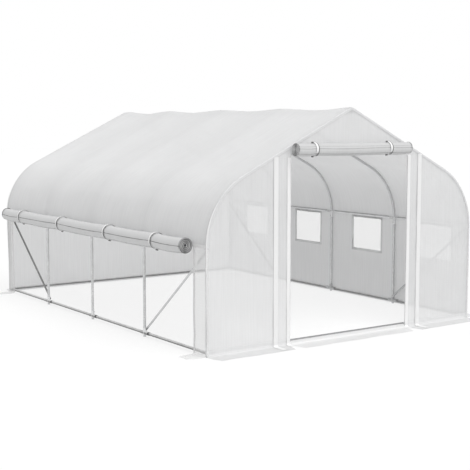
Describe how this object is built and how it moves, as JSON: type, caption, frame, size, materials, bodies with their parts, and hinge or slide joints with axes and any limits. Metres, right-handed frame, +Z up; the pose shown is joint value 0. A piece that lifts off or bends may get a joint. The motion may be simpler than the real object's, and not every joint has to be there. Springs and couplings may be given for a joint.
{
  "type": "polytunnel greenhouse",
  "caption": "Walk-in polytunnel greenhouse with a tube frame, a pitched woven cover, a doorway, side windows and one side rolled up under the eave.",
  "frame": {"origin": "on the ground, at the middle of the tunnel's outline", "axes": "+X across the doorway end towards the windowed side, +Y from the doorway to the closed end, +Z up"},
  "size_m": [3.33, 4.33, 2],
  "materials": {
    "galvanised_tube": "galvanised, dull",
    "fitting_steel": "galvanised, dull",
    "woven_cover": "translucent woven sheet",
    "white_webbing": "woven tape",
    "window_mesh": "fine open mesh",
    "black_plastic": "moulded"
  },
  "bodies": {
    "root": {"front_hoop_legs": "galvanised_tube", "second_hoop_legs": "galvanised_tube", "middle_hoop_legs": "galvanised_tube", "fourth_hoop_legs": "galvanised_tube", "rear_hoop_legs": "galvanised_tube", "front_hoop_bows": "galvanised_tube", "second_hoop_bows": "galvanised_tube", "middle_hoop_bows": "galvanised_tube", "fourth_hoop_bows": "galvanised_tube", "rear_hoop_bows": "galvanised_tube", "ridge_fittings": "fitting_steel", "ridge_purlin": "galvanised_tube", "left_eave_fittings": "fitting_steel", "right_eave_fittings": "fitting_steel", "left_eave_rail": "galvanised_tube", "right_eave_rail": "galvanised_tube", "left_base_fittings": "fitting_steel", "right_base_fittings": "fitting_steel", "left_base_rail": "galvanised_tube", "right_base_rail": "galvanised_tube", "front_base_rail": "galvanised_tube", "rear_base_rail": "galvanised_tube", "left_rail_collars": "black_plastic", "right_rail_collars": "black_plastic", "left_braces": "galvanised_tube", "right_braces": "galvanised_tube", "door_posts": "galvanised_tube", "roof_cover": "woven_cover", "right_side_cover": "woven_cover", "left_front_strip": "woven_cover", "left_rear_strip": "woven_cover", "rear_end_cover": "woven_cover", "front_left_panel": "woven_cover", "front_right_panel": "woven_cover", "front_gable_panel": "woven_cover", "door_zips": "white_webbing", "door_bands": "white_webbing", "window_screens": "window_mesh", "window_hems": "woven_cover", "window_flap_rolls": "woven_cover", "side_roll": "woven_cover", "side_roll_ties": "white_webbing", "door_roll": "woven_cover", "door_roll_ties": "white_webbing", "front_ground_flaps": "woven_cover", "rear_ground_flap": "woven_cover", "right_ground_flap": "woven_cover", "left_corner_flaps": "woven_cover"}
  },
  "joints": []
}
